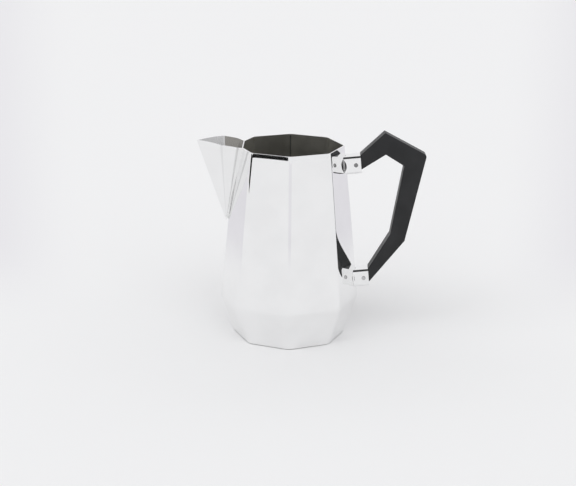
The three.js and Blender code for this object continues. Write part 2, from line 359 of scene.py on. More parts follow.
class Nodes:
    """Writes the nodes of a material or a world in order from left to right."""

    def __init__(self, owner: bpy.types.Material | bpy.types.World) -> None:
        """Starts with the one shader that a new material or world has."""
        owner.use_nodes = True
        self.owner = owner
        self.tree = owner.node_tree
        self.shader = self.tree.nodes.get("Principled BSDF") or self.tree.nodes["Background"]

    @classmethod
    def material(cls, name: str) -> "Nodes":
        """Starts a new material."""
        return cls(bpy.data.materials.new(name))

    def add(self, kind: str, links: dict | None = None, **settings: object) -> bpy.types.Node:
        """Adds a node.

        Args:
            kind: The node's type.
            links: Input names or numbers, each with a socket to link or a value to set.
            settings: The node's own settings.

        Returns:
            The node.
        """
        node = self.tree.nodes.new(kind)
        for key, value in settings.items():
            setattr(node, key, value)
        for key, value in (links or {}).items():
            if isinstance(value, bpy.types.NodeSocket):
                self.tree.links.new(value, node.inputs[key])
            else:
                node.inputs[key].default_value = value
        return node

    def feed(self, socket: bpy.types.NodeSocket, name: str) -> None:
        """Links a socket to one of the shader's inputs."""
        self.tree.links.new(socket, self.shader.inputs[name])

    def ramp(
        self, value: bpy.types.NodeSocket, stops: list[tuple[float, tuple]]
    ) -> bpy.types.NodeSocket:
        """Turns a value into a colour.

        Args:
            value: The value, from 0 to 1.
            stops: Each place with its colour.

        Returns:
            The colour's socket.
        """
        node = self.add("ShaderNodeValToRGB", {"Fac": value})
        elements = node.color_ramp.elements
        while len(elements) < len(stops):
            elements.new(0.5)
        for element, (place, colour) in zip(elements, stops):
            element.position = place
            element.color = colour
        return node.outputs["Color"]

    def step(self, kind: str, first: object, second: object) -> bpy.types.NodeSocket:
        """One step of arithmetic on sockets or numbers."""
        return self.add("ShaderNodeMath", {0: first, 1: second}, operation=kind).outputs[0]

    def spread(
        self,
        value: bpy.types.NodeSocket,
        start: tuple[float, float] = (0.0, 1.0),
        end: tuple[float, float] = (0.0, 1.0),
        shape: str = "LINEAR",
    ) -> bpy.types.NodeSocket:
        """Maps one range on to another.

        Args:
            value: The value.
            start: The range that it comes from.
            end: The range that it is given.
            shape: How it runs between the two.

        Returns:
            The new value's socket.
        """
        links = {
            "Value": value,
            "From Min": start[0],
            "From Max": start[1],
            "To Min": end[0],
            "To Max": end[1],
        }
        node = self.add("ShaderNodeMapRange", links, interpolation_type=shape)
        return node.outputs["Result"]

    def axes(self, space: str = "Object") -> bpy.types.NodeOutputs:
        """The place on the piece or, for the room, the direction, as outputs X, Y and Z."""
        place = self.add("ShaderNodeTexCoord").outputs[space]
        return self.add("ShaderNodeSeparateXYZ", {"Vector": place}).outputs

    def grain(
        self, size: float, stretch: tuple[float, float, float] = (1, 1, 1), detail: float = 3.0
    ) -> bpy.types.NodeSocket:
        """Uneven grain in the piece's own space.

        Args:
            size: How large the grain is, in millimetres.
            stretch: How much finer it is along each axis.
            detail: How many finer layers it has.

        Returns:
            The grain's value.
        """
        place = self.add("ShaderNodeTexCoord").outputs["Object"]
        turned = self.add("ShaderNodeMapping", {"Vector": place, "Scale": stretch})
        links = {"Vector": turned.outputs["Vector"], "Scale": 1 / (size * MM), "Detail": detail}
        return self.add("ShaderNodeTexNoise", links).outputs["Fac"]

    def relief(self, heights: list[tuple[bpy.types.NodeSocket, float]]) -> bpy.types.NodeSocket:
        """Layers of raised detail.

        Args:
            heights: Each layer's value and its height in millimetres.

        Returns:
            The normal's socket.
        """
        normal = None
        for value, height in heights:
            links = {"Height": value, "Strength": 1.0, "Distance": height * MM}
            if normal is not None:
                links["Normal"] = normal
            normal = self.add("ShaderNodeBump", links).outputs["Normal"]
        return normal


@dataclass(frozen=True)
class MetalFinish:
    """A metal finish.

    Args:
        name: The material's name.
        colour: The metal's colour where it is clean.
        stain: Its colour where it is handled or tarnished.
        roughness: How dull it is at its brightest and at its dullest places.
        lay: The size of its polishing marks in millimetres.
        stretch: How the marks are drawn out.
        marks: The marks' depth in millimetres.
        ripple: The depth of the sheet's slow waves in millimetres.
        ripple_size: The size of those waves.
        metal: How much of it is bare metal, from 0 to 1.
        throat_shade: Its painted shade colour deep in the spout, where it has one.
        throat_from: Where that colour starts along the jug, in millimetres.
    """

    name: str
    colour: tuple[float, float, float, float]
    stain: tuple[float, float, float, float]
    roughness: tuple[float, float]
    lay: float = 0.5
    stretch: tuple[float, float, float] = (1.0, 1.0, 0.06)
    marks: float = 0.0002
    ripple: float = 0.0
    ripple_size: float = 30.0
    metal: float = 1.0
    throat_shade: tuple[float, float, float, float] | None = None
    throat_from: float = 0.0

    def material(self) -> bpy.types.Material:
        """Builds the material."""
        nodes = Nodes.material(self.name)
        clouds = nodes.grain(24.0, detail=4.0)
        streaks = nodes.grain(self.lay, self.stretch, detail=2.0)
        colour = nodes.ramp(clouds, [(0.35, self.stain), (0.62, self.colour)])
        # Painted shade: a darker colour deep in the spout, past the fold that faces the body.
        if self.throat_shade:
            colour = self.paint_throat_shade(nodes, colour)
        nodes.feed(colour, "Base Color")
        mixed = nodes.step("MULTIPLY", clouds, streaks)
        nodes.feed(nodes.spread(mixed, (0.12, 0.4), self.roughness), "Roughness")
        layers = [(streaks, self.marks)]
        if self.ripple:
            layers.insert(0, (nodes.grain(self.ripple_size, detail=0.0), self.ripple))
        nodes.feed(nodes.relief(layers), "Normal")
        nodes.shader.inputs["Metallic"].default_value = self.metal
        return nodes.owner

    def paint_throat_shade(self, nodes: Nodes, colour: bpy.types.NodeSocket) -> bpy.types.NodeSocket:
        """Darkens the colour past the fold that faces the body, as painted shade.

        Args:
            nodes: The material's nodes.
            colour: The colour in front of the fold.

        Returns:
            The colour's socket.
        """
        blur = 0.4
        limits = ((self.throat_from - blur) * MM, (self.throat_from + blur) * MM)
        past = nodes.spread(nodes.axes()["X"], limits)
        mix = nodes.add("ShaderNodeMix", data_type="RGBA")
        nodes.tree.links.new(past, mix.inputs[0])
        nodes.tree.links.new(colour, mix.inputs[6])
        mix.inputs[7].default_value = self.throat_shade
        return mix.outputs[2]


@dataclass(frozen=True)
class PlasticFinish:
    """A moulded black plastic.

    Args:
        name: The material's name.
        colour: Its colour.
        worn: Its colour where hands have rubbed it.
        roughness: How dull it is where rubbed and where untouched.
        grain: The size of its skin's grain in millimetres.
        depth: The grain's depth in millimetres.
        swell: The depth of the moulding's slow waves in millimetres.
        gloss: How strongly its skin reflects.
    """

    name: str
    colour: tuple[float, float, float, float]
    worn: tuple[float, float, float, float]
    roughness: tuple[float, float]
    grain: float = 0.35
    depth: float = 0.006
    swell: float = 0.02
    gloss: float = 0.42

    def material(self) -> bpy.types.Material:
        """Builds the material."""
        nodes = Nodes.material(self.name)
        clouds = nodes.grain(14.0, detail=5.0)
        skin = nodes.grain(self.grain, detail=3.0)
        nodes.feed(nodes.ramp(clouds, [(0.4, self.colour), (0.7, self.worn)]), "Base Color")
        nodes.feed(nodes.spread(clouds, end=self.roughness[::-1]), "Roughness")
        nodes.feed(nodes.relief([(clouds, self.swell), (skin, self.depth)]), "Normal")
        nodes.shader.inputs["Specular IOR Level"].default_value = self.gloss
        return nodes.owner


def grey(value: float, blue: float = 0.0) -> tuple[float, float, float, float]:
    """A grey, made cooler by a positive blue."""
    return (value - blue, value - blue * 0.4, value + blue, 1.0)


class Finishes:
    """Every finish that the jug has."""

    def __init__(self) -> None:
        """Builds the materials once."""
        even = (1, 1, 1)
        self.steel = MetalFinish(
            "mirror_steel", grey(0.93), grey(0.9), (0.015, 0.05), ripple=0.004, ripple_size=45.0
        ).material()
        clean, dull = (0.63, 0.62, 0.57, 1), (0.53, 0.52, 0.475, 1)
        self.inside = MetalFinish(
            "dull_inside", clean, dull, (0.3, 0.5), marks=0.001, metal=0.95
        ).material()
        # The spout's inside carries painted shade deep in its throat.
        self.spout_inside = MetalFinish(
            "satin_spout_painted_shade",
            grey(0.62),
            grey(0.56),
            (0.18, 0.32),
            marks=0.0006,
            throat_shade=(0.31, 0.3, 0.28, 1.0),
            throat_from=-52.3,
        ).material()
        # The folds: duller steel from bending, darker outside as painted shade along the fold
        # lines, and lighter inside the widest fold as a painted highlight.
        self.fold = MetalFinish(
            "fold_steel_painted_shade", grey(0.85), grey(0.81), (0.07, 0.14), marks=0.0006
        ).material()
        self.cheek_fold = MetalFinish(
            "cheek_fold_steel_painted_shade", grey(0.74), grey(0.68), (0.08, 0.16), marks=0.0006
        ).material()
        self.fold_inside_highlight = MetalFinish(
            "satin_fold_painted_highlight", grey(0.66), grey(0.6), (0.16, 0.26), marks=0.0006
        ).material()
        self.solder = MetalFinish(
            "silver_solder", grey(0.4), grey(0.2), (0.26, 0.5), 1.2, even, marks=0.03
        ).material()
        self.pale_rivet = MetalFinish(
            "pale_rivet", grey(0.62), grey(0.5), (0.14, 0.3), 0.3, even, marks=0.004
        ).material()
        self.bright_solder = MetalFinish(
            "bright_solder", grey(0.93), grey(0.86), (0.1, 0.22), 1.2, even, marks=0.01
        ).material()
        self.rivet = MetalFinish(
            "rivet_steel", grey(0.3), grey(0.18), (0.18, 0.36), 0.3, even, marks=0.002
        ).material()
        self.plastic = PlasticFinish(
            "black_plastic", grey(0.006, 0.0006), grey(0.011, 0.0008), (0.38, 0.52)
        ).material()


# ---- Body ----


@dataclass
class JugBody:
    """The eight-sided sheet body and its base plate.

    Args:
        sides: How many flat sides it has.
        rim_height: The rim above the base.
        belly_height: Where the two slopes of the side meet.
        base_radius: From the axis to a corner at the base.
        belly_radius: From the axis to a corner where the slopes would meet.
        rim_radius: From the axis to a corner at the rim.
        belly_bend: The radius of the soft bend at the belly.
        side_swell: How far the upper sides bow outwards.
        wall: The sheet's thickness.
        foot: The rounding of the sheet where it stands.
        foot_shadow_line: How high the painted contact shadow reaches around the foot, in the dark
            solder finish.
        corner_run: How far the easing of each upright corner reaches into its two sides.
        crown: How far the middle of each side stands out.
        rim_roll: How far the rim is rolled inwards.
        rim_roll_height: How far down the roll reaches.
        base_thickness: The base plate's thickness.
        solder_gap: The clearance where two pieces are soldered.
        notch_half_width: Half the spout's notch at the rim.
        notch_slope: How fast the notch widens with height.
        notch_from: The notch cuts only what is past this place along the jug.
        seam_radius: The solder seam's radius, inside the back corner.
        seam_inset: How far the seam's middle stands off the sheet.
    """

    sides: int = 8
    rim_height: float = 153.0
    belly_height: float = 30.6
    base_radius: float = 44.1
    belly_radius: float = 55.0
    rim_radius: float = 42.3
    belly_bend: float = 8.0
    side_swell: float = 0.4
    wall: float = 1.0
    foot: float = 0.8
    foot_shadow_line: float = 0.42
    corner_run: float = 1.9
    crown: float = 0.1
    rim_roll: float = 0.09
    rim_roll_height: float = 3.6
    base_thickness: float = 1.2
    solder_gap: float = 0.1
    notch_half_width: float = 13.02
    notch_slope: float = 14.1 / 61.0
    notch_from: float = -5.0
    seam_radius: float = 0.4
    seam_inset: float = 0.15

    @property
    def half_corner(self) -> float:
        """Half the angle between two neighbouring sides."""
        return math.pi / self.sides

    @property
    def side_heading(self) -> float:
        """How far a side beside the jug's middle plane faces off that plane, in degrees."""
        return math.degrees(self.half_corner)

    def at_corner(self, distance: float) -> float:
        """How far a corner moves when its sides move by a distance."""
        return distance / math.cos(self.half_corner)

    def side_line(self) -> list[Vector]:
        """The side's line from base to rim, as points of (corner radius, 0, height).

        The last stretch below the rim is split finely, for the roll.
        """
        base = Vector((self.base_radius, 0, 0))
        belly = Vector((self.belly_radius, 0, self.belly_height))
        rim = Vector((self.rim_radius, 0, self.rim_height))
        swell = (belly + rim) / 2 + Vector((2 * self.side_swell, 0, 0))
        down, up = (base - belly).normalized(), (swell - belly).normalized()
        run = self.belly_bend * math.tan((math.pi - down.angle(up)) / 2)
        bend = bow(belly + down * run, belly, belly + up * run, 10)
        side = bow(bend[-1], swell, rim, 24)
        roll_steps = 9
        roll = [side[-2].lerp(rim, part / roll_steps) for part in range(roll_steps + 1)]
        slope = (belly - base).normalized()
        foot = bow(base - Vector((self.foot, 0, 0)), base, base + slope * self.foot, 4)
        return [*foot, *bend, *side[1:-2], *roll]

    def corner_radius(self, height: float) -> float:
        """The corner radius at a height."""
        line = self.side_line()
        for low, high in zip(line, line[1:]):
            if height <= high.z:
                part = (height - low.z) / (high.z - low.z)
                return low.x + (high.x - low.x) * part
        return self.rim_radius

    def facet_plane(self, heading: float, low: float, high: float, out: float) -> tuple:
        """The plane of one side between two heights.

        Args:
            heading: The side's direction from the axis, in degrees.
            low: The lower height.
            high: The upper height.
            out: How far the plane stands off the side.

        Returns:
            A point of the plane, and its outward direction.
        """
        flat = math.cos(self.half_corner)
        turn = Matrix.Rotation(math.radians(heading), 4, "Z")
        foot = Vector((self.corner_radius(low) * flat, 0, low))
        top = Vector((self.corner_radius(high) * flat, 0, high))
        rise = top - foot
        outward = Vector((rise.z, 0, -rise.x)).normalized()
        return turn @ (foot + outward * out), turn.to_3x3() @ outward

    def crown_sides(self, bm: bmesh.types.BMesh) -> None:
        """Gives every side its slight crown and rolls the rim inwards."""
        step = 2 * self.half_corner
        for vert in bm.verts:
            heading = math.atan2(vert.co.y, vert.co.x)
            middle = (math.floor(heading / step) + 0.5) * step
            across = math.tan(heading - middle) / math.tan(self.half_corner)
            out = self.crown * (1 - min(abs(across), 1.0) ** 4)
            rolled = 1 - (self.rim_height - vert.co.z) / self.rim_roll_height
            out -= self.rim_roll * max(rolled, 0.0) ** 1.5
            vert.co += Vector((math.cos(middle), math.sin(middle), 0)) * out

    def cut_notch(self, bm: bmesh.types.BMesh) -> None:
        """Opens the V behind the spout."""
        foot = self.rim_height - self.notch_half_width / self.notch_slope
        for side in Side:
            front = [f for f in bm.faces if f.calc_center_median().x < self.notch_from]
            geometry = {*front, *(e for f in front for e in f.edges)}
            geometry |= {v for f in front for v in f.verts}
            bmesh.ops.bisect_plane(
                bm,
                geom=list(geometry),
                dist=0.0001,
                plane_co=(0, 0, foot),
                plane_no=Vector((0, 1, -side.value * self.notch_slope)).normalized(),
            )
        gone = []
        for face in bm.faces:
            middle = face.calc_center_median()
            half_width = self.notch_slope * (middle.z - foot)
            if middle.x < self.notch_from and abs(middle.y) < half_width:
                gone.append(face)
        bmesh.ops.delete(bm, geom=gone, context="FACES")

    def shell(self, finishes: Finishes) -> bpy.types.Object:
        """Makes the sheet body."""
        bm = wire(self.side_line())
        turn_round(bm, (0, 0, 1), self.sides)
        ease(bm, [e for e in bm.edges if not is_level(e)], self.corner_run, 6, "EDGES")
        shortest = 8
        across = [e for e in bm.edges if is_level(e) and e.calc_length() > shortest]
        bmesh.ops.subdivide_edges(bm, edges=across, cuts=11, use_grid_fill=True)
        self.crown_sides(bm)
        self.cut_notch(bm)
        bmesh.ops.remove_doubles(bm, verts=bm.verts, dist=0.002)
        # Painted contact shadow: the lowest faces round the foot take the dark solder finish.
        for face in bm.faces:
            if face.calc_center_median().z < self.foot_shadow_line:
                face.material_index = Zone.PAINTED_SHADE_LINE.value
        bm = Maker.thicken(bm, self.wall, inner=1)
        rim_slack = 0.3
        for vert in bm.verts:
            if vert.co.z > self.rim_height - rim_slack:
                vert.co.z = self.rim_height
        return Maker.piece(
            "body_sheet",
            bm,
            [finishes.steel, finishes.inside, finishes.solder, finishes.inside],
            Slot.STEEL,
            edge=Edge(0.09, 2, 50.0),
            stands_for=("body_shell",),
        )

    def base(self, finishes: Finishes) -> bpy.types.Object:
        """Makes the let-in base plate."""
        inset = self.at_corner(self.wall + self.solder_gap)
        bm = bmesh.new()
        low, high = self.corner_radius(0) - inset, self.corner_radius(self.base_thickness) - inset
        bmesh.ops.create_circle(bm, cap_ends=True, segments=self.sides, radius=low)
        top = ends_of(bmesh.ops.extrude_face_region(bm, geom=bm.faces[:])["geom"])
        bmesh.ops.scale(bm, vec=(high / low, high / low, 1), verts=top)
        bmesh.ops.translate(bm, vec=(0, 0, self.base_thickness), verts=top)
        face_outwards(bm)
        return Maker.piece(
            "base_disc",
            bm,
            [finishes.inside],
            Slot.STEEL,
            edge=Edge(0.25, 2, 40.0),
            stands_for=("base_plate",),
        )

    def seam(self, finishes: Finishes) -> bpy.types.Object:
        """Makes the sheet's soldered seam, inside the corner at the back."""
        inset = self.at_corner(self.wall) + self.seam_inset
        low, high = self.base_thickness + 0.3, self.rim_height - 0.6
        points = [Vector((0, p.x - inset, p.z)) for p in self.side_line() if low < p.z < high]
        radii = [self.seam_radius] * len(points)
        return Maker.line("body_seam", points, radii, finishes.solder, Slot.STEEL)

    def build(self, finishes: Finishes) -> None:
        """Makes the body's pieces."""
        self.shell(finishes)
        self.base(finishes)
        self.seam(finishes)


# ---- Spout ----


@dataclass
class Spout:
    """The folded beak spout.

    Args:
        body: The body that it is soldered to.
        sheet: The sheet's thickness.
        reach: From the rim's corner to the tip.
        tip_rise: How far the tip stands above the rim.
        lip_bow: How far the lip arches above a straight line.
        fold_reach: The widest fold, in front of the rim's corner.
        fold_half_width: Half the spout's width at that fold.
        cheek_setback: The cheek's fold, behind the rim's corner.
        cheek_half_width: Half the spout's width at the cheek.
        seat_half_width: Half its width where it meets the rim.
        root_height: The height of its foot.
        fold_run: How far the easing of each fold reaches at the lip.
        rows: How many rows of faces run from the lip to the root.
        solder_part: Where the solder starts and ends, as parts of the way from root to lip.
        solder_stand: How far the solder's middle stands off the body.
        solder_radius: The solder's radius where the sheet touches the body.
        solder_spread: How much that radius grows with the gap behind the sheet.
    """

    body: JugBody
    sheet: float = 1.0
    reach: float = 30.6
    tip_rise: float = 3.0
    lip_bow: float = 1.6
    fold_reach: float = 10.6
    fold_half_width: float = 18.0
    cheek_setback: float = 2.1
    cheek_half_width: float = 17.5
    seat_half_width: float = 14.1
    root_height: float = 92.0
    fold_run: float = 1.05
    rows: int = 8
    solder_part: tuple[float, float] = (0.03, 0.98)
    solder_stand: float = 0.12
    solder_radius: float = 0.1
    solder_spread: float = 0.28

    @property
    def root(self) -> Vector:
        """The point that every fold starts from."""
        radius = self.body.corner_radius(self.root_height)
        return Vector((-radius - self.body.at_corner(self.sheet), 0, self.root_height))

    def lip_height(self, x: float) -> float:
        """The lip's height at a place along the jug."""
        seat_x = -self.body.rim_radius + self.cheek_setback
        seat_x += self.cheek_half_width - self.seat_half_width
        tip_x = -self.body.rim_radius - self.reach
        t = min(max((x - seat_x) / (tip_x - seat_x), 0.0), 1.2)
        crown = self.tip_rise / 2 + 2 * self.lip_bow
        return self.body.rim_height + 2 * t * (1 - t) * crown + t * t * self.tip_rise

    def lip_corners(self) -> list[Vector]:
        """Where the folds reach the lip, from the near seat round the tip to the far seat."""
        corner, rim = -self.body.rim_radius, self.body.rim_height
        level = rim + self.tip_rise
        seat_x = corner + self.seat_half_width * math.tan(self.body.half_corner)
        half = [
            Vector((seat_x, -self.seat_half_width, rim)),
            Vector((corner + self.cheek_setback, -self.cheek_half_width, rim + self.lip_bow)),
            Vector((corner - self.fold_reach, -self.fold_half_width, level)),
        ]
        tip = Vector((corner - self.reach, 0, level))
        return [*half, tip, *(Vector((p.x, -p.y, p.z)) for p in reversed(half))]

    def trim_to_lip(self, point: Vector) -> Vector:
        """Moves a point along its line from the root until it lies on the lip."""
        run = point - self.root
        low, high = 0.4, 1.6
        for _ in range(40):
            middle = (low + high) / 2
            place = self.root + run * middle
            if place.z < self.lip_height(place.x):
                low = middle
            else:
                high = middle
        return self.root + run * low

    def beak(self, finishes: Finishes) -> bpy.types.Object:
        """Makes the folded sheet."""
        bm = wire(self.lip_corners())
        bm.verts.ensure_lookup_table()
        ease(bm, bm.verts[1:-1], self.fold_run, 4)
        long_edges = [e for e in bm.edges if e.calc_length() > 3]
        bmesh.ops.subdivide_edges(bm, edges=long_edges, cuts=9)
        for vert in bm.verts:
            vert.co = self.trim_to_lip(vert.co)
        edge_row = bm.edges[:]
        for rows_left in range(self.rows, 0, -1):
            grown = bmesh.ops.extrude_edge_only(bm, edges=edge_row)["geom"]
            edge_row = [e for e in grown if isinstance(e, bmesh.types.BMEdge)]
            left = (rows_left - 1) / rows_left
            for vert in ends_of(grown):
                vert.co = self.root + (vert.co - self.root) * left
        bmesh.ops.remove_doubles(bm, verts=bm.verts, dist=0.002)
        split_in_middle(bm)
        for side in Side:
            cut_half(bm, side, *self.seat_plane(side, self.body.solder_gap))
        bmesh.ops.remove_doubles(bm, verts=bm.verts, dist=0.002)
        bmesh.ops.recalc_face_normals(bm, faces=bm.faces)
        if sum(f.normal.x * f.calc_area() for f in bm.faces) > 0:
            bmesh.ops.reverse_faces(bm, faces=bm.faces)
        self.mark_folds(bm)
        bm = Maker.thicken(bm, self.sheet, inner=1)
        # The fold finishes carry painted shade outside and a painted highlight inside the widest
        # fold.
        return Maker.piece(
            "spout_sheet",
            bm,
            [
                finishes.steel,
                finishes.spout_inside,
                finishes.fold,
                finishes.fold_inside_highlight,
                finishes.cheek_fold,
                finishes.spout_inside,
            ],
            Slot.STEEL,
            edge=Edge(0.16, 3, 50.0),
            stands_for=("spout",),
        )

    def seat_plane(self, side: Side, out: float) -> tuple[Vector, Vector]:
        """The body's side that one half of the spout is soldered to, moved out a little."""
        heading = 180 - side.value * self.body.side_heading
        return self.body.facet_plane(heading, self.root_height, self.body.rim_height, out)

    def mark_folds(self, bm: bmesh.types.BMesh) -> None:
        """Gives the folds duller bent steel, with painted shade outside and a painted highlight
        inside the widest fold.
        """
        runs = [corner - self.root for corner in self.lip_corners()]
        flats = [a.cross(b).normalized() for a, b in zip(runs, runs[1:])]
        lies_flat = math.cos(math.radians(4))
        for face in bm.faces:
            if all(abs(face.normal.dot(flat)) < lies_flat for flat in flats):
                widest = face.calc_center_median().x < self.root.x + 0.5
                face.material_index = (Zone.PAINTED_SHADE_LINE if widest else Zone.CHEEK_FOLD).value

    def solder_line(self, finishes: Finishes, side: Side) -> bpy.types.Object:
        """Makes the solder between the spout's edge and one side of the body.

        Args:
            finishes: The jug's finishes.
            side: Which side.

        Returns:
            The object.
        """
        place, outward = self.seat_plane(side, 0.0)
        seat = self.lip_corners()[0]
        seat.y *= -side.value
        first, last = self.solder_part
        steps = 24
        points, radii = [], []
        for i in range(steps + 1):
            point = self.root.lerp(seat, first + (last - first) * i / steps)
            off = (point - place).dot(outward)
            points.append(point - outward * (off - self.solder_stand))
            radii.append(self.solder_radius + self.solder_spread * max(off, 0.0))
        name = f"spout_solder_{side.name.lower()}"
        return Maker.line(name, points, radii, finishes.bright_solder, Slot.STEEL)

    def build(self, finishes: Finishes) -> None:
        """Makes the spout's pieces."""
        self.beak(finishes)
        for side in Side:
            self.solder_line(finishes, side)


# ---- Sockets and rivets ----


@dataclass
class Socket:
    """One folded box socket that holds an end of the handle.

    Args:
        name: The socket's name, which is also its CAD node's.
        rivet_name: The name of its rivet.
        body: The body that it is soldered to.
        height_on_body: The height of the middle of its mouth.
        projection: From the body's corner to the mouth.
        scallop: The depth of the hollow curve in each side wall.
        width: Across the jug.
        height: From bottom to top.
        chamfer: The flat on each long edge.
        wall: The sheet's thickness.
        tilt: How far its mouth looks upwards, in degrees.
        rivet_radius: The rivet's pin.
        head_radius: The rivet's head.
        head_height: How far the head stands out.
        head_gap: The clearance under the head.
        rivet_setback: From the mouth to the rivet.
        solder_gap: Between the socket and the body.
        solder_setback: How far the solder stands back from the hollow curve.
        solder_inset: How far the solder's sides stand in from the socket's.
        paler: True if its solder and its rivet take the paler finishes.
    """

    name: str
    rivet_name: str
    body: JugBody
    height_on_body: float
    projection: float
    scallop: float
    width: float = 14.2
    height: float = 13.6
    chamfer: float = 1.3
    wall: float = 1.35
    tilt: float = 5.5
    rivet_radius: float = 1.2
    head_radius: float = 1.65
    head_height: float = 0.55
    head_gap: float = 0.1
    rivet_setback: float = 4.0
    solder_gap: float = 0.03
    solder_setback: float = 1.0
    solder_inset: float = 0.5
    paler: bool = False

    @property
    def mouth(self) -> Vector:
        """The middle of the mouth."""
        radius = self.body.corner_radius(self.height_on_body)
        return Vector((radius + self.projection, 0, self.height_on_body))

    @property
    def lie(self) -> Matrix:
        """Carries a point given along, across and above the axis on to the jug."""
        turn = Matrix.Rotation(-math.radians(self.tilt), 4, "Y")
        return Matrix.Translation(self.mouth) @ turn

    def section(self, half_width: float, half_height: float) -> bmesh.types.BMesh:
        """A rectangle of edges across the socket's axis, at the mouth."""
        ways = ((1, -1), (1, 1), (-1, 1), (-1, -1))
        return wire([Vector((0, y * half_width, z * half_height)) for y, z in ways], closed=True)

    def cut_to_body(self, bm: bmesh.types.BMesh, side: Side) -> None:
        """Cuts one half of a piece where it meets the body's side."""
        place, outward = self.body.facet_plane(
            side.value * self.body.side_heading,
            self.height_on_body - self.height,
            self.height_on_body + self.height,
            self.solder_gap,
        )
        cut_half(bm, side, place, outward)

    def hollow_sides(self, bm: bmesh.types.BMesh) -> None:
        """Cuts the curve in the back edge of both side walls."""
        away = self.lie.inverted()
        half_chord = self.height / 2 - self.chamfer

        def at_back(vert: bmesh.types.BMVert) -> bool:
            """True if a point is on a side wall, in the half towards the body."""
            on_side = abs(abs(vert.co.y) - self.width / 2) < 0.01
            return on_side and (away @ vert.co).x < -self.projection / 2

        back = [e for e in bm.edges if e.is_boundary and all(at_back(v) for v in e.verts)]
        bmesh.ops.subdivide_edges(bm, edges=back, cuts=15)
        radius = (half_chord**2 + self.scallop**2) / (2 * self.scallop)
        for vert in bm.verts:
            local = away @ vert.co
            if at_back(vert) and abs(local.z) < half_chord:
                local.x += self.scallop - radius + math.sqrt(radius**2 - local.z**2)
                vert.co = self.lie @ local

    def box(self, finishes: Finishes) -> bpy.types.Object:
        """Makes the socket."""
        bm = self.section(self.width / 2, self.height / 2)
        ease(bm, bm.verts[:], self.chamfer, 1)
        moved = ends_of(bmesh.ops.extrude_edge_only(bm, edges=bm.edges[:])["geom"])
        past_body = 16
        bmesh.ops.translate(bm, vec=(-self.projection - past_body, 0, 0), verts=moved)
        split_in_middle(bm)
        bmesh.ops.transform(bm, matrix=self.lie, verts=bm.verts)
        for side in Side:
            self.cut_to_body(bm, side)
        self.hollow_sides(bm)
        bmesh.ops.recalc_face_normals(bm, faces=bm.faces)
        top = max(bm.faces, key=lambda f: f.calc_center_median().z)
        if top.normal.z < 0:
            bmesh.ops.reverse_faces(bm, faces=bm.faces)
        bm = Maker.thicken(bm, self.wall)
        return Maker.piece(
            f"{self.name}_box",
            bm,
            [finishes.steel],
            Slot.STEEL,
            edge=Edge(0.16, 3, 25.0),
            stands_for=(self.name,),
        )

    def fill(self, finishes: Finishes) -> bpy.types.Object:
        """Makes the solder that fills the socket's back, behind the hollow curves."""
        half_width = self.width / 2 - self.solder_inset
        bm = self.section(half_width, self.height / 2 - self.wall - 0.05)
        bmesh.ops.contextual_create(bm, geom=bm.edges[:])
        moved = ends_of(bmesh.ops.extrude_face_region(bm, geom=bm.faces[:])["geom"])
        past_body = 12
        bmesh.ops.translate(bm, vec=(-past_body, 0, 0), verts=moved)
        body_slope = 0.42
        wall_end = -self.projection - half_width * body_slope
        front = wall_end + self.scallop - self.solder_setback
        bmesh.ops.translate(bm, vec=(front, 0, 0), verts=bm.verts)
        bmesh.ops.transform(bm, matrix=self.lie, verts=bm.verts)
        split_in_middle(bm)
        for side in Side:
            self.cut_to_body(bm, side)
        bmesh.ops.holes_fill(bm, edges=[e for e in bm.edges if e.is_boundary], sides=0)
        face_outwards(bm)
        finish = finishes.bright_solder if self.paler else finishes.solder
        return Maker.piece(
            f"{self.name}_solder", bm, [finish], Slot.STEEL, edge=Edge(0.3, 3, 35.0)
        )

    def rivet(self, finishes: Finishes) -> bpy.types.Object:
        """Makes the rivet through the socket and the handle."""
        face = self.width / 2 + self.head_gap
        dome = bow(
            Vector((self.head_radius, face, 0)),
            Vector((self.head_radius, face + self.head_height, 0)),
            Vector((0, face + self.head_height, 0)),
            8,
        )
        half = [Vector((self.rivet_radius, face, 0)), *dome]
        line = [*(Vector((p.x, -p.y, 0)) for p in reversed(half)), *half]
        bm = wire(line)
        turn_round(bm, (0, 1, 0), 32)
        centre = self.lie @ Vector((-self.rivet_setback, 0, 0))
        bmesh.ops.translate(bm, vec=centre, verts=bm.verts)
        return Maker.piece(
            f"{self.rivet_name}_pin",
            bm,
            [finishes.pale_rivet if self.paler else finishes.rivet],
            Slot.RIVET,
            stands_for=(self.rivet_name,),
        )

    def build(self, finishes: Finishes) -> None:
        """Makes the socket's pieces."""
        self.box(finishes)
        self.fill(finishes)
        self.rivet(finishes)


# ---- Handle ----


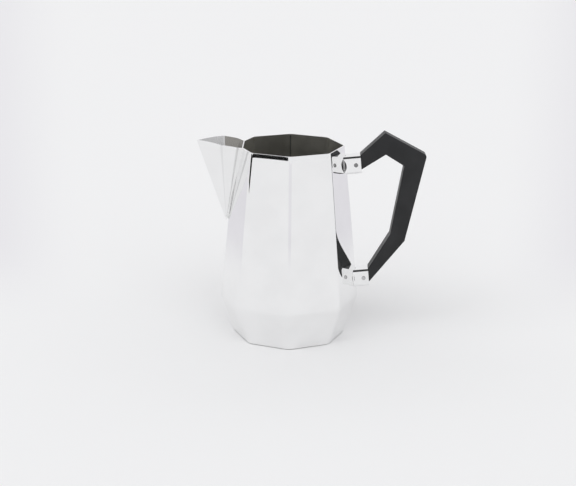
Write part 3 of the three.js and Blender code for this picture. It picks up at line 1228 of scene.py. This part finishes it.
@dataclass
class Handle:
    """The flat black handle.

    Args:
        upper: The socket of its upper end.
        lower: The socket of its lower end.
        thickness: Across the jug.
        tenon_length: How deep each end goes into its socket.
        tenon_top: The tenon's top above the socket's axis.
        mouth_gap: Between the handle's shoulder and the socket's mouth.
        corner_run: How far the shoulder's rounding reaches.
        easing: The rounding of all its long edges.
        upper_end: Its top and bottom edges at the upper mouth.
        lower_end: Its top and bottom edges at the lower mouth.
        peak: The highest corner, from the upper mouth.
        shoulder: The outermost corner, from the upper mouth.
        inner_shoulder: The inner corner below it.
        inner_peak: The inner corner below the peak.
        elbow: The outer bend, from the lower mouth.
        inner_elbow: The inner bend, from the lower mouth.
    """

    upper: Socket
    lower: Socket
    thickness: float = 10.7
    tenon_length: float = 8.6
    tenon_top: float = 5.25
    mouth_gap: float = 0.2
    corner_run: float = 2.0
    easing: float = 0.45
    upper_end: tuple[float, float] = (7.3, -4.2)
    lower_end: tuple[float, float] = (7.2, -4.0)
    peak: tuple[float, float] = (18.1, 24.9)
    shoulder: tuple[float, float] = (50.9, 7.5)
    inner_shoulder: tuple[float, float] = (33.5, -1.2)
    inner_peak: tuple[float, float] = (19.0, 7.7)
    elbow: tuple[float, float] = (27.6, 30.0)
    inner_elbow: tuple[float, float] = (16.0, 35.3)

    def end_corners(self, socket: Socket, edges: tuple[float, float]) -> list[Vector]:
        """The corners of one end, from its top edge round the tenon to its bottom edge.

        Args:
            socket: The socket that holds this end.
            edges: The handle's top and bottom edges at the mouth.

        Returns:
            The corners.
        """
        top, bottom = edges
        places = [
            (self.mouth_gap, top),
            (self.mouth_gap, self.tenon_top),
            (-self.tenon_length, self.tenon_top),
            (-self.tenon_length, bottom),
            (self.mouth_gap, bottom),
        ]
        return [socket.lie @ Vector((along, 0, above)) for along, above in places]

    def outline(self) -> list[Vector]:
        """The handle's corners in order."""

        def near(socket: Socket, place: tuple[float, float]) -> Vector:
            """A corner given from a socket's mouth."""
            return socket.mouth + Vector((place[0], 0, place[1]))

        return [
            *self.end_corners(self.upper, self.upper_end),
            near(self.upper, self.inner_peak),
            near(self.upper, self.inner_shoulder),
            near(self.lower, self.inner_elbow),
            *self.end_corners(self.lower, self.lower_end),
            near(self.lower, self.elbow),
            near(self.upper, self.shoulder),
            near(self.upper, self.peak),
        ]

    def build(self, finishes: Finishes) -> None:
        """Makes the handle."""
        corners = self.outline()
        bm = wire(corners, closed=True)
        bmesh.ops.contextual_create(bm, geom=bm.edges[:])
        outermost = max(bm.verts, key=lambda v: v.co.x)
        ease(bm, [outermost], self.corner_run, 6)
        bmesh.ops.translate(bm, vec=(0, -self.thickness / 2, 0), verts=bm.verts)
        moved = ends_of(bmesh.ops.extrude_face_region(bm, geom=bm.faces[:])["geom"])
        bmesh.ops.translate(bm, vec=(0, self.thickness, 0), verts=moved)
        face_outwards(bm)
        Maker.piece(
            "handle_plate",
            bm,
            [finishes.plastic],
            Slot.HANDLE,
            edge=Edge(self.easing, 4, 28.0),
            stands_for=("handle_grip",),
        )


# ---- Studio ----


@dataclass(frozen=True)
class Lamp:
    """One broad lamp, which the polish doesn't show.

    Args:
        strength: Its strength.
        spread: Its width in degrees.
        turn: How it is turned from straight down, in degrees.
    """

    strength: float
    spread: float
    turn: tuple[float, float, float] = (0, 0, 0)

    def hang(self, name: str) -> None:
        """Hangs the lamp under a name."""
        data = bpy.data.lights.new(name, "SUN")
        data.energy = self.strength
        data.angle = math.radians(self.spread)
        lamp = bpy.data.objects.new(name, data)
        lamp.rotation_euler = Euler([math.radians(part) for part in self.turn])
        lamp.visible_glossy = False
        bpy.context.scene.collection.objects.link(lamp)


@dataclass(frozen=True)
class Studio:
    """A pale floor, a soft room, a dark curtain far off, three lamps and the camera.

    Args:
        floor_grey: The floor's own lightness.
        floor_radius: How far the floor reaches, in metres.
        floor_shade_tint: The floor's red, green and blue in its painted shade, away from the jug,
            as parts of its lightness.
        room_light: The brightness of the room's walls.
        ceiling: The brightness of the room above them.
        ceiling_from: Where the ceiling begins and is whole, as sines of its elevation.
        sky_lamp: The lamp overhead.
        side_lamp: The lamp to the left, which casts the soft shadow.
        fill_lamp: The lamp in front.
        curtain: The curtain's headings in degrees, with their distances in metres.
        curtain_height: The curtain's height in metres at the jug, and its rise with distance.
        lens: The camera's focal length in millimetres.
        fall: How far the camera looks down, in degrees.
        roll: How far the camera leans, in radians.
        distance: From the camera to the place that it looks at, in millimetres.
        target: That place.
    """

    floor_grey: float = 0.84
    floor_radius: float = 60.0
    floor_shade_tint: tuple[float, float, float] = (0.885, 0.873, 0.905)
    room_light: float = 0.88
    ceiling: float = 0.05
    ceiling_from: tuple[float, float] = (0.79, 0.86)
    sky_lamp: Lamp = Lamp(0.55, 165.0)
    side_lamp: Lamp = Lamp(0.36, 40.0, (42, 0, -58))
    fill_lamp: Lamp = Lamp(0.84, 70.0, (48, 0, 0))
    curtain: tuple[tuple[float, float], ...] = (
        (182, 1.55),
        (203, 1.6),
        (208, 2.0),
        (212, 2.7),
        (216, 4.2),
        (219, 6.5),
        (221.5, 12.0),
        (223.5, 24.0),
        (226, 42.0),
        (233, 46.0),
    )
    curtain_height: tuple[float, float] = (0.1, 0.04)
    lens: float = 82.17
    fall: float = 16.787
    roll: float = 0.009
    distance: float = 1042.17
    target: tuple[float, float, float] = (-1.279, 0, 73.566)

    @staticmethod
    def stand(name: str, bm: bmesh.types.BMesh, nodes: Nodes) -> bpy.types.Object:
        """Stands something quite dull in the studio.

        Args:
            name: Its name.
            bm: Its mesh in metres, which is used up.
            nodes: Its material.

        Returns:
            The object.
        """
        mesh = bpy.data.meshes.new(name)
        bm.to_mesh(mesh)
        bm.free()
        nodes.shader.inputs["Roughness"].default_value = 1.0
        nodes.shader.inputs["Specular IOR Level"].default_value = 0.0
        mesh.materials.append(nodes.owner)
        obj = bpy.data.objects.new(name, mesh)
        bpy.context.scene.collection.objects.link(obj)
        return obj

    def floor(self) -> None:
        """Lays the floor, with painted shade that makes it a little darker to both sides behind
        the jug and in front.
        """
        nodes = Nodes.material("floor_paper_painted_shade")
        axes = nodes.axes()
        x, y = axes["X"], axes["Y"]

        def rise(value: bpy.types.NodeSocket, low: float, high: float) -> bpy.types.NodeSocket:
            """A smooth rise from 0 to 1."""
            return nodes.spread(value, (low, high), shape="SMOOTHSTEP")

        # Painted shade: the floor is darker and cooler in wings to both sides behind the jug and
        # in a strip far in front.
        aside = nodes.step("ABSOLUTE", x, 0.0)
        depth = nodes.step("ADD", nodes.step("MAXIMUM", y, 0.0), 1.0)
        wide = rise(nodes.step("DIVIDE", aside, depth), 0.16, 0.27)
        slant = nodes.step("DIVIDE", y, nodes.step("ADD", aside, 0.1))
        wings = nodes.step("MULTIPLY", wide, rise(slant, 0.0, 0.7))
        ahead = nodes.step("MAXIMUM", nodes.step("MULTIPLY", y, -1.0), 0.001)
        off = rise(nodes.step("DIVIDE", aside, ahead), 0.2, 0.55)
        strip = nodes.step("MULTIPLY", nodes.step("SUBTRACT", 1.0, off), rise(ahead, 0.5, 1.0))
        shaded = nodes.step("MAXIMUM", wings, nodes.step("MULTIPLY", strip, 0.7))
        shade_colour = (*(self.floor_grey * part for part in self.floor_shade_tint), 1.0)
        stops = [(0.0, grey(self.floor_grey, 0.002)), (1.0, shade_colour)]
        nodes.feed(nodes.ramp(shaded, stops), "Base Color")
        fibre = nodes.grain(1.5, detail=4.0)
        nodes.feed(nodes.relief([(fibre, 0.01)]), "Normal")
        bm = bmesh.new()
        bmesh.ops.create_circle(bm, cap_ends=True, segments=64, radius=self.floor_radius)
        floor = self.stand("floor", bm, nodes)

    def hang_curtain(self) -> None:
        """Hangs the dark curtain, which only the polish finds."""
        points = []
        for heading, distance in self.curtain:
            turn = math.radians(heading)
            points.append(Vector((math.cos(turn), math.sin(turn), 0)) * distance)
        bm = wire(points)
        near, climb = self.curtain_height
        for vert in ends_of(bmesh.ops.extrude_edge_only(bm, edges=bm.edges[:])["geom"]):
            vert.co.z = near + climb * vert.co.length
        nodes = Nodes.material("curtain_cloth")
        stops = [(0.3, grey(0.006)), (0.7, grey(0.012))]
        nodes.feed(nodes.ramp(nodes.grain(40.0), stops), "Base Color")
        curtain = self.stand("curtain", bm, nodes)
        curtain.visible_camera = False
        curtain.visible_diffuse = False
        curtain.visible_shadow = False

    def room(self) -> None:
        """Makes the room, with pale walls and a dark ceiling."""
        world = bpy.data.worlds.new("room")
        bpy.context.scene.world = world
        nodes = Nodes(world)
        height = nodes.axes("Generated")["Z"]
        ends = (self.room_light, self.ceiling)
        nodes.feed(nodes.spread(height, self.ceiling_from, ends, "SMOOTHSTEP"), "Strength")
        nodes.shader.inputs["Color"].default_value = (0.985, 0.985, 1.0, 1.0)

    def camera(self) -> None:
        """Stands the camera in front and above."""
        data = bpy.data.cameras.new("camera")
        data.sensor_width = 36.0
        data.lens = self.lens
        data.clip_start, data.clip_end = 0.01, 200.0
        camera = bpy.data.objects.new("camera", data)
        fall = math.radians(self.fall)
        back = Vector((0, -math.cos(fall), math.sin(fall)))
        place = Vector(self.target) + back * self.distance
        turn = Matrix.Rotation(math.pi / 2 - fall, 4, "X") @ Matrix.Rotation(self.roll, 4, "Z")
        camera.matrix_world = Matrix.Translation(place * MM) @ turn
        bpy.context.scene.collection.objects.link(camera)
        bpy.context.scene.camera = camera

    def build(self) -> None:
        """Makes the studio."""
        bpy.context.scene.view_settings.view_transform = "Standard"
        self.floor()
        self.room()
        self.hang_curtain()
        self.sky_lamp.hang("sky_lamp")
        self.side_lamp.hang("side_lamp")
        self.fill_lamp.hang("fill_lamp")
        self.camera()


def main() -> None:
    """Builds the studio and the jug."""
    logging.basicConfig(level=logging.INFO, format="%(name)s: %(message)s")
    Studio().build()
    finishes = Finishes()
    body = JugBody()
    upper = Socket(
        "upper_socket", "upper_rivet", body, height_on_body=139.3, projection=10.9, scallop=2.4
    )
    lower = Socket(
        "lower_socket",
        "lower_rivet",
        body,
        height_on_body=47.6,
        projection=9.5,
        scallop=1.2,
        solder_setback=0.1,
        solder_inset=0.15,
        paler=True,
    )
    body.build(finishes)
    Spout(body).build(finishes)
    for socket in (upper, lower):
        socket.build(finishes)
    Handle(upper, lower).build(finishes)


if __name__ == "__main__":
    main()
